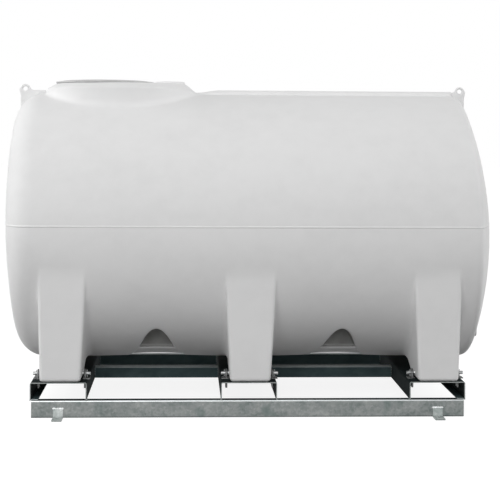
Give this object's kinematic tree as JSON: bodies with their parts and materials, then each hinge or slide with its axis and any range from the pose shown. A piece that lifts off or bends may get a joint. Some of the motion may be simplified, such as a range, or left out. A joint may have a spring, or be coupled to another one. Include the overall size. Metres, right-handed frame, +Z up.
{
  "type": "horizontal polyethylene tank on a steel frame",
  "caption": "Round polyethylene tank lying along a galvanised steel frame, with dished ends, moulded legs pinned to the frame, a top manway and lifting lugs.",
  "frame": {"origin": "on the ground below the middle of the tank, 8 mm to the right of the middle of the steel frame", "axes": "+X along the tank from the manway end to the outlet end, +Y across it to the rear, +Z up"},
  "size_m": [2.9316, 1.68, 1.944],
  "materials": {
    "polyethylene": "natural white rotomoulded polyethylene, satin, slightly mottled",
    "lid_plastic": "mid grey moulded plastic, satin",
    "galvanised_steel": "hot-dip galvanised, dull grey with soft zinc spangle",
    "zinc_hardware": "galvanised rod and bolts, brighter than the frame"
  },
  "bodies": {
    "root": {"upper_barrel": "polyethylene", "lower_barrel": "polyethylene", "left_end": "polyethylene", "right_end": "polyethylene", "manway_neck": "polyethylene", "ridge_left": "polyethylene", "ridge_right": "polyethylene", "lifting_lug_left": "polyethylene", "lifting_lug_right": "polyethylene", "mould_seam": "polyethylene", "outlet_fitting": "polyethylene", "leg_front_left": "polyethylene", "leg_front_middle": "polyethylene", "leg_front_right": "polyethylene", "leg_rear_left": "polyethylene", "leg_rear_middle": "polyethylene", "leg_rear_right": "polyethylene", "manway_lid": "lid_plastic", "front_rail": "galvanised_steel", "rear_rail": "galvanised_steel", "bearer_left": "galvanised_steel", "bearer_middle": "galvanised_steel", "bearer_right": "galvanised_steel", "spreader_left": "galvanised_steel", "spreader_right": "galvanised_steel", "spreader_rear_left": "galvanised_steel", "spreader_rear_right": "galvanised_steel", "hold_down_front_left": "galvanised_steel", "hold_down_front_right": "galvanised_steel", "hold_down_rear_left": "galvanised_steel", "hold_down_rear_right": "galvanised_steel", "pin_front_left": "zinc_hardware", "pin_front_middle": "zinc_hardware", "pin_front_right": "zinc_hardware", "pin_rear_left": "zinc_hardware", "pin_rear_middle": "zinc_hardware", "pin_rear_right": "zinc_hardware", "u_bolts_front_left": "zinc_hardware", "u_bolts_front_middle": "zinc_hardware", "u_bolts_front_right": "zinc_hardware", "u_bolts_rear_left": "zinc_hardware", "u_bolts_rear_middle": "zinc_hardware", "u_bolts_rear_right": "zinc_hardware"}
  },
  "joints": []
}
